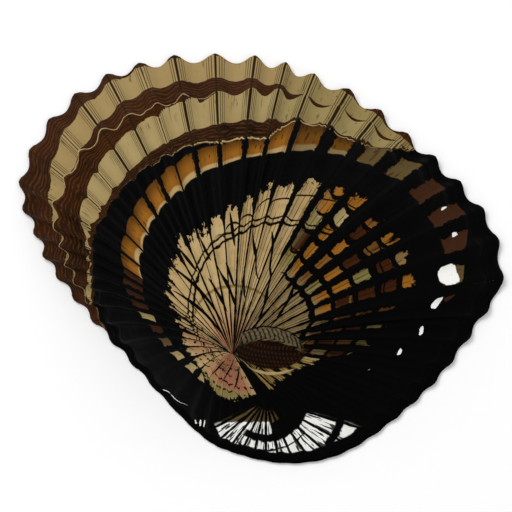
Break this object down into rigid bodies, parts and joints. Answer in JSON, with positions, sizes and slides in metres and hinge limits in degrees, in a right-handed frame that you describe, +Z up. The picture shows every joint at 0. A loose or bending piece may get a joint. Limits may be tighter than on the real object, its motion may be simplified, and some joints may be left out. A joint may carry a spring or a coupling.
{
  "type": "ribbed limpet shell",
  "caption": "Low ribbed limpet shell resting mouth down, with a hooked off-centre beak, scalloped rim and stepped growth terraces.",
  "frame": {"origin": "middle of the footprint, on the surface the shell rests on", "axes": "+Z up out of the crown, +X along the longest extent, beak towards -Y"},
  "size_m": [0.0828, 0.0732, 0.0192],
  "materials": {
    "shell": "satin, cream and brown banded"
  },
  "bodies": {
    "root": {"limpet_shell": "shell"}
  },
  "joints": []
}
